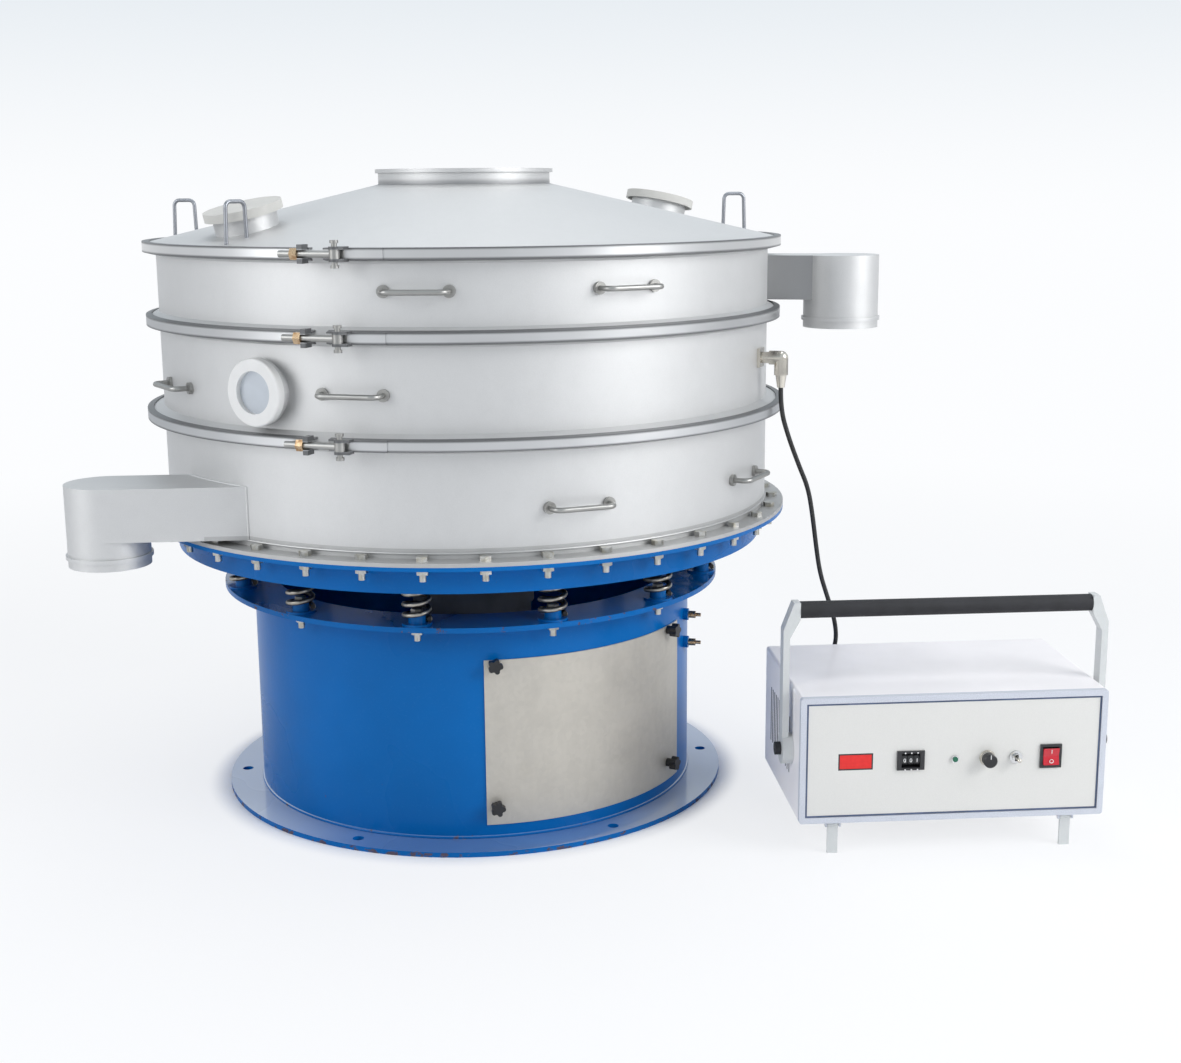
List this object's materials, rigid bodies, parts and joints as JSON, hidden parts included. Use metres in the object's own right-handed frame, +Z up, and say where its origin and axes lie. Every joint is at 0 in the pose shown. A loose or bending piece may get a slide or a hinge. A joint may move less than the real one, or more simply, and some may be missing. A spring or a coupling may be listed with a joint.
{
  "type": "vibrating sieve",
  "caption": "Round stainless vibrating sieve on a sprung blue drum base, with conical lid, clamp bands, side outlets and a cabled ultrasonic generator box.",
  "frame": {"origin": "centre of the base flange's anchor hole circle at the floor, on the sieve's axis", "axes": "+Z up along the sieve's axis, -Y towards the front with the access door and sight window, +X towards the coarse outlet and the generator"},
  "size_m": [1.5886, 1.062, 1.029],
  "materials": {
    "blasted_stainless": "bead blasted",
    "polished_stainless": "polished",
    "blue_enamel": "gloss enamel",
    "zinc_plated": "bright zinc plated",
    "spring_steel": "oiled, worn bright",
    "door_sheet": "mottled galvanised",
    "black_plastic": "moulded",
    "brass_fitting": "worn",
    "grey_cast_iron": "painted casting",
    "weight_steel": "turned",
    "gasket_rubber": "smooth",
    "screen_cloth": "woven wire",
    "white_plastic": "smooth",
    "clear_pane": "clear",
    "nickel_fitting": "nickel plated",
    "cable_rubber": "smooth",
    "case_enamel": "satin",
    "panel_silver": "fine sprayed silver",
    "handle_alloy": "satin",
    "fitting_plastic": "moulded",
    "red_plastic": "translucent",
    "circuit_parts": "board and windings"
  },
  "bodies": {
    "base": {"base_flange": "blue_enamel", "drum_shell": "blue_enamel", "drum_top_flange": "blue_enamel", "lower_spring_bolts": "zinc_plated", "coil_springs": "spring_steel", "grease_nipples": "brass_fitting", "generator_case": "case_enamel", "generator_electronics": "circuit_parts", "front_panel": "panel_silver", "panel_fittings": "fitting_plastic"},
    "vibrating_unit": {"vibration_table": "blue_enamel", "table_bolts": "zinc_plated", "motor_housing": "grey_cast_iron", "bottom_frame": "blasted_stainless", "fine_outlet": "blasted_stainless", "discharge_dome": "blasted_stainless", "flange_bolts": "zinc_plated", "middle_frame": "blasted_stainless", "sight_ring": "white_plastic", "sight_pane": "clear_pane", "top_frame": "blasted_stainless", "coarse_outlet": "blasted_stainless", "gaskets": "gasket_rubber", "screen_ring": "polished_stainless", "screen_mesh": "screen_cloth", "transducer": "polished_stainless", "lid": "blasted_stainless", "lifting_loops": "polished_stainless", "frame_handles": "polished_stainless", "clamp_bands": "polished_stainless", "clamp_pins": "polished_stainless", "cable_socket": "nickel_fitting", "cable_plug": "nickel_fitting", "ultrasonic_cable": "cable_rubber"},
    "motor_rotor": {"motor_shaft": "weight_steel", "upper_weight": "weight_steel"},
    "lower_eccentric": {"lower_weight": "weight_steel"},
    "door": {"access_door": "door_sheet"},
    "cap_left": {"port_cap_left": "white_plastic"},
    "cap_right": {"port_cap_right": "white_plastic"},
    "handle": {"carry_handle": "handle_alloy", "handle_grip": "black_plastic"},
    "leg_left": {"left_leg": "handle_alloy"},
    "leg_right": {"right_leg": "handle_alloy"},
    "dial": {"power_dial": "black_plastic"},
    "toggle": {"toggle_lever": "nickel_fitting"},
    "rocker": {"rocker_button": "red_plastic"},
    "knob_1": {"door_knob_1": "black_plastic"},
    "knob_2": {"door_knob_2": "black_plastic"},
    "knob_3": {"door_knob_3": "black_plastic"},
    "knob_4": {"door_knob_4": "black_plastic"},
    "bolt_lower": {"swing_bolt_lower": "polished_stainless"},
    "nut_lower": {"clamp_nut_lower": "brass_fitting"},
    "bolt_middle": {"swing_bolt_middle": "polished_stainless"},
    "nut_middle": {"clamp_nut_middle": "brass_fitting"},
    "bolt_upper": {"swing_bolt_upper": "polished_stainless"},
    "nut_upper": {"clamp_nut_upper": "brass_fitting"},
    "wheel_1": {"thumbwheel_1": "fitting_plastic"},
    "wheel_2": {"thumbwheel_2": "fitting_plastic"},
    "wheel_3": {"thumbwheel_3": "fitting_plastic"}
  },
  "joints": [
    {"name": "unit_bounce", "type": "slide", "parent": "base", "child": "vibrating_unit", "axis": [0, 0, 1], "range_m": [-0.006, 0.006], "stiffness_N_per_m": 152000, "springref_m": 0.0155, "deforming": ["coil_springs", "ultrasonic_cable"]},
    {"name": "rotor_spin", "type": "hinge", "parent": "vibrating_unit", "child": "motor_rotor", "pos_m": [0, 0, 0.41], "axis": [0, 0, 1], "continuous": true},
    {"name": "weight_phase", "type": "hinge", "parent": "motor_rotor", "child": "lower_eccentric", "pos_m": [0, 0, 0.27], "axis": [0, 0, 1], "range_deg": [0, 90]},
    {"name": "door_off", "type": "slide", "parent": "base", "child": "door", "axis": [0.515, -0.8572, 0], "range_m": [0, 0.15]},
    {"name": "knob_1_turn", "type": "hinge", "parent": "door", "child": "knob_1", "pos_m": [0.02926, -0.37185, 0.061], "axis": [0.0785, -0.9969, 0], "continuous": true},
    {"name": "knob_2_turn", "type": "hinge", "parent": "door", "child": "knob_2", "pos_m": [0.31459, -0.20041, 0.061], "axis": [0.8434, -0.5373, 0], "continuous": true},
    {"name": "knob_3_turn", "type": "hinge", "parent": "door", "child": "knob_3", "pos_m": [0.02926, -0.37185, 0.289], "axis": [0.0785, -0.9969, 0], "continuous": true},
    {"name": "knob_4_turn", "type": "hinge", "parent": "door", "child": "knob_4", "pos_m": [0.31459, -0.20041, 0.289], "axis": [0.8434, -0.5373, 0], "continuous": true},
    {"name": "swing_lower", "type": "hinge", "parent": "vibrating_unit", "child": "bolt_lower", "pos_m": [-0.18069, -0.50789, 0.648], "axis": [0, 0, 1], "range_deg": [0, 70]},
    {"name": "nut_lower_turn", "type": "hinge", "parent": "bolt_lower", "child": "nut_lower", "pos_m": [-0.23584, -0.48425, 0.648], "axis": [-0.9191, 0.3939, 0], "continuous": true},
    {"name": "swing_middle", "type": "hinge", "parent": "vibrating_unit", "child": "bolt_middle", "pos_m": [-0.17833, -0.50237, 0.797], "axis": [0, 0, 1], "range_deg": [0, 70]},
    {"name": "nut_middle_turn", "type": "hinge", "parent": "bolt_middle", "child": "nut_middle", "pos_m": [-0.23347, -0.47874, 0.797], "axis": [-0.9191, 0.3939, 0], "continuous": true},
    {"name": "swing_upper", "type": "hinge", "parent": "vibrating_unit", "child": "bolt_upper", "pos_m": [-0.17833, -0.50237, 0.912], "axis": [0, 0, 1], "range_deg": [0, 70]},
    {"name": "nut_upper_turn", "type": "hinge", "parent": "bolt_upper", "child": "nut_upper", "pos_m": [-0.23347, -0.47874, 0.912], "axis": [-0.9191, 0.3939, 0], "continuous": true},
    {"name": "cap_left_off", "type": "slide", "parent": "vibrating_unit", "child": "cap_left", "axis": [-0.1807, -0.1412, 0.9733], "range_m": [0, 0.06]},
    {"name": "cap_right_off", "type": "slide", "parent": "vibrating_unit", "child": "cap_right", "axis": [0.2025, 0.1077, 0.9733], "range_m": [0, 0.06]},
    {"name": "handle_swing", "type": "hinge", "parent": "base", "child": "handle", "pos_m": [0.718, -0.4, 0.15], "axis": [1, 0, 0], "range_deg": [-50, 120]},
    {"name": "leg_left_fold", "type": "hinge", "parent": "base", "child": "leg_left", "pos_m": [0.537, -0.458, 0.047], "axis": [1, 0, 0], "range_deg": [0, 90]},
    {"name": "leg_right_fold", "type": "hinge", "parent": "base", "child": "leg_right", "pos_m": [0.899, -0.458, 0.047], "axis": [1, 0, 0], "range_deg": [0, 90]},
    {"name": "wheel_1_turn", "type": "hinge", "parent": "base", "child": "wheel_1", "pos_m": [0.6425, -0.459, 0.148], "axis": [1, 0, 0], "continuous": true},
    {"name": "wheel_2_turn", "type": "hinge", "parent": "base", "child": "wheel_2", "pos_m": [0.652, -0.459, 0.148], "axis": [1, 0, 0], "continuous": true},
    {"name": "wheel_3_turn", "type": "hinge", "parent": "base", "child": "wheel_3", "pos_m": [0.6615, -0.459, 0.148], "axis": [1, 0, 0], "continuous": true},
    {"name": "dial_turn", "type": "hinge", "parent": "base", "child": "dial", "pos_m": [0.77, -0.468, 0.148], "axis": [0, -1, 0], "range_deg": [-150, 150]},
    {"name": "toggle_flip", "type": "hinge", "parent": "base", "child": "toggle", "pos_m": [0.814, -0.471, 0.148], "axis": [1, 0, 0], "range_deg": [-12, 12]},
    {"name": "rocker_tip", "type": "hinge", "parent": "base", "child": "rocker", "pos_m": [0.868, -0.465, 0.148], "axis": [1, 0, 0], "range_deg": [-8, 8]}
  ]
}
